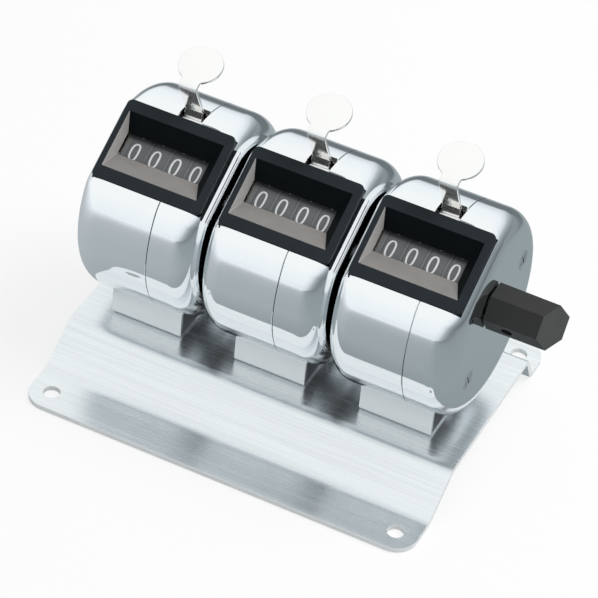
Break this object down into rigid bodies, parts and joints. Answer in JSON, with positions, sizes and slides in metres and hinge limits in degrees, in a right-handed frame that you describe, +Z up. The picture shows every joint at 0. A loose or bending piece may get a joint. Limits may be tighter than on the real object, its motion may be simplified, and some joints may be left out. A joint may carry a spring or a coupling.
{
  "type": "bench tally counter",
  "caption": "Bench tally counter: drum-shaped plated counters in a row on a bent base plate, each with a digit window and thumb lever, and one common reset knob.",
  "frame": {"origin": "centre of the four base screw holes, at the underside of the base plate, which is table level", "axes": "+X along the row of counters towards the reset knob, +Y from the digit windows to the back, +Z up"},
  "size_m": [0.106, 0.0744, 0.0767],
  "materials": {
    "base_steel": "brushed along the row",
    "foot_steel": "satin",
    "case_chrome": "mirror polished plating",
    "lever_chrome": "polished plating",
    "bezel_plastic": "satin black moulding",
    "knob_plastic": "satin black moulding",
    "wheel_plastic": "dark grey moulding with white printed numerals",
    "comb_plastic": "grey moulding",
    "frame_steel": "zinc plated",
    "pawl_steel": "zinc plated",
    "spring_steel": "drawn wire and leaf",
    "shaft_steel": "turned",
    "pin_steel": "turned",
    "screw_steel": "plated"
  },
  "bodies": {
    "root": {"base_plate": "base_steel", "foot_screws": "screw_steel", "case_screws": "screw_steel", "lever_pins": "pin_steel", "left_foot_bracket": "foot_steel", "left_case_left_shell": "case_chrome", "left_case_right_shell": "case_chrome", "left_window_bezel": "bezel_plastic", "left_window_comb": "comb_plastic", "left_mechanism_frame": "frame_steel", "left_check_spring": "spring_steel", "left_return_spring": "spring_steel", "middle_foot_bracket": "foot_steel", "middle_case_left_shell": "case_chrome", "middle_case_right_shell": "case_chrome", "middle_window_bezel": "bezel_plastic", "middle_window_comb": "comb_plastic", "middle_mechanism_frame": "frame_steel", "middle_check_spring": "spring_steel", "middle_return_spring": "spring_steel", "right_foot_bracket": "foot_steel", "right_case_left_shell": "case_chrome", "right_case_right_shell": "case_chrome", "right_window_bezel": "bezel_plastic", "right_window_comb": "comb_plastic", "right_mechanism_frame": "frame_steel", "right_check_spring": "spring_steel", "right_return_spring": "spring_steel"},
    "left_lever": {"left_lever": "lever_chrome", "left_pawl_pin": "pin_steel"},
    "left_pawl": {"left_pawl_comb": "pawl_steel"},
    "left_wheel_thousands": {"left_wheel_thousands": "wheel_plastic"},
    "left_wheel_hundreds": {"left_wheel_hundreds": "wheel_plastic"},
    "left_wheel_tens": {"left_wheel_tens": "wheel_plastic"},
    "left_wheel_units": {"left_wheel_units": "wheel_plastic"},
    "middle_lever": {"middle_lever": "lever_chrome", "middle_pawl_pin": "pin_steel"},
    "middle_pawl": {"middle_pawl_comb": "pawl_steel"},
    "middle_wheel_thousands": {"middle_wheel_thousands": "wheel_plastic"},
    "middle_wheel_hundreds": {"middle_wheel_hundreds": "wheel_plastic"},
    "middle_wheel_tens": {"middle_wheel_tens": "wheel_plastic"},
    "middle_wheel_units": {"middle_wheel_units": "wheel_plastic"},
    "right_lever": {"right_lever": "lever_chrome", "right_pawl_pin": "pin_steel"},
    "right_pawl": {"right_pawl_comb": "pawl_steel"},
    "right_wheel_thousands": {"right_wheel_thousands": "wheel_plastic"},
    "right_wheel_hundreds": {"right_wheel_hundreds": "wheel_plastic"},
    "right_wheel_tens": {"right_wheel_tens": "wheel_plastic"},
    "right_wheel_units": {"right_wheel_units": "wheel_plastic"},
    "reset": {"reset_shaft": "shaft_steel", "reset_knob": "knob_plastic", "knob_set_screw": "screw_steel"}
  },
  "joints": [
    {"name": "left_lever_press", "type": "hinge", "parent": "root", "child": "left_lever", "pos_m": [-0.0306, 0.0038, 0.0553], "axis": [-1, 0, 0], "range_deg": [0, 24], "stiffness_Nm_per_rad": 0.05, "springref_deg": -17.19, "deforming": ["left_return_spring"]},
    {"name": "left_pawl_swing", "type": "hinge", "parent": "left_lever", "child": "left_pawl", "pos_m": [-0.0306, 0.0116, 0.0526], "axis": [-1, 0, 0], "range_deg": [-44, 0]},
    {"name": "left_thousands_turn", "type": "hinge", "parent": "root", "child": "left_wheel_thousands", "pos_m": [-0.0306, -0.00085, 0.0419], "axis": [1, 0, 0], "continuous": true},
    {"name": "left_hundreds_turn", "type": "hinge", "parent": "root", "child": "left_wheel_hundreds", "pos_m": [-0.0306, -0.00085, 0.0419], "axis": [1, 0, 0], "continuous": true},
    {"name": "left_tens_turn", "type": "hinge", "parent": "root", "child": "left_wheel_tens", "pos_m": [-0.0306, -0.00085, 0.0419], "axis": [1, 0, 0], "continuous": true},
    {"name": "left_units_turn", "type": "hinge", "parent": "root", "child": "left_wheel_units", "pos_m": [-0.0306, -0.00085, 0.0419], "axis": [1, 0, 0], "continuous": true},
    {"name": "middle_lever_press", "type": "hinge", "parent": "root", "child": "middle_lever", "pos_m": [-0.0006, 0.0038, 0.0553], "axis": [-1, 0, 0], "range_deg": [0, 24], "stiffness_Nm_per_rad": 0.05, "springref_deg": -17.19, "deforming": ["middle_return_spring"]},
    {"name": "middle_pawl_swing", "type": "hinge", "parent": "middle_lever", "child": "middle_pawl", "pos_m": [-0.0006, 0.0116, 0.0526], "axis": [-1, 0, 0], "range_deg": [-44, 0]},
    {"name": "middle_thousands_turn", "type": "hinge", "parent": "root", "child": "middle_wheel_thousands", "pos_m": [-0.0006, -0.00085, 0.0419], "axis": [1, 0, 0], "continuous": true},
    {"name": "middle_hundreds_turn", "type": "hinge", "parent": "root", "child": "middle_wheel_hundreds", "pos_m": [-0.0006, -0.00085, 0.0419], "axis": [1, 0, 0], "continuous": true},
    {"name": "middle_tens_turn", "type": "hinge", "parent": "root", "child": "middle_wheel_tens", "pos_m": [-0.0006, -0.00085, 0.0419], "axis": [1, 0, 0], "continuous": true},
    {"name": "middle_units_turn", "type": "hinge", "parent": "root", "child": "middle_wheel_units", "pos_m": [-0.0006, -0.00085, 0.0419], "axis": [1, 0, 0], "continuous": true},
    {"name": "right_lever_press", "type": "hinge", "parent": "root", "child": "right_lever", "pos_m": [0.0294, 0.0038, 0.0553], "axis": [-1, 0, 0], "range_deg": [0, 24], "stiffness_Nm_per_rad": 0.05, "springref_deg": -17.19, "deforming": ["right_return_spring"]},
    {"name": "right_pawl_swing", "type": "hinge", "parent": "right_lever", "child": "right_pawl", "pos_m": [0.0294, 0.0116, 0.0526], "axis": [-1, 0, 0], "range_deg": [-44, 0]},
    {"name": "right_thousands_turn", "type": "hinge", "parent": "root", "child": "right_wheel_thousands", "pos_m": [0.0294, -0.00085, 0.0419], "axis": [1, 0, 0], "continuous": true},
    {"name": "right_hundreds_turn", "type": "hinge", "parent": "root", "child": "right_wheel_hundreds", "pos_m": [0.0294, -0.00085, 0.0419], "axis": [1, 0, 0], "continuous": true},
    {"name": "right_tens_turn", "type": "hinge", "parent": "root", "child": "right_wheel_tens", "pos_m": [0.0294, -0.00085, 0.0419], "axis": [1, 0, 0], "continuous": true},
    {"name": "right_units_turn", "type": "hinge", "parent": "root", "child": "right_wheel_units", "pos_m": [0.0294, -0.00085, 0.0419], "axis": [1, 0, 0], "continuous": true},
    {"name": "reset_turn", "type": "hinge", "parent": "root", "child": "reset", "pos_m": [-0.0006, -0.00085, 0.0419], "axis": [1, 0, 0], "continuous": true}
  ],
  "couplings": [
    {"joint": "left_pawl_swing", "follows": "left_lever_press", "ratio": -1.8},
    {"joint": "middle_pawl_swing", "follows": "middle_lever_press", "ratio": -1.8},
    {"joint": "right_pawl_swing", "follows": "right_lever_press", "ratio": -1.8}
  ]
}
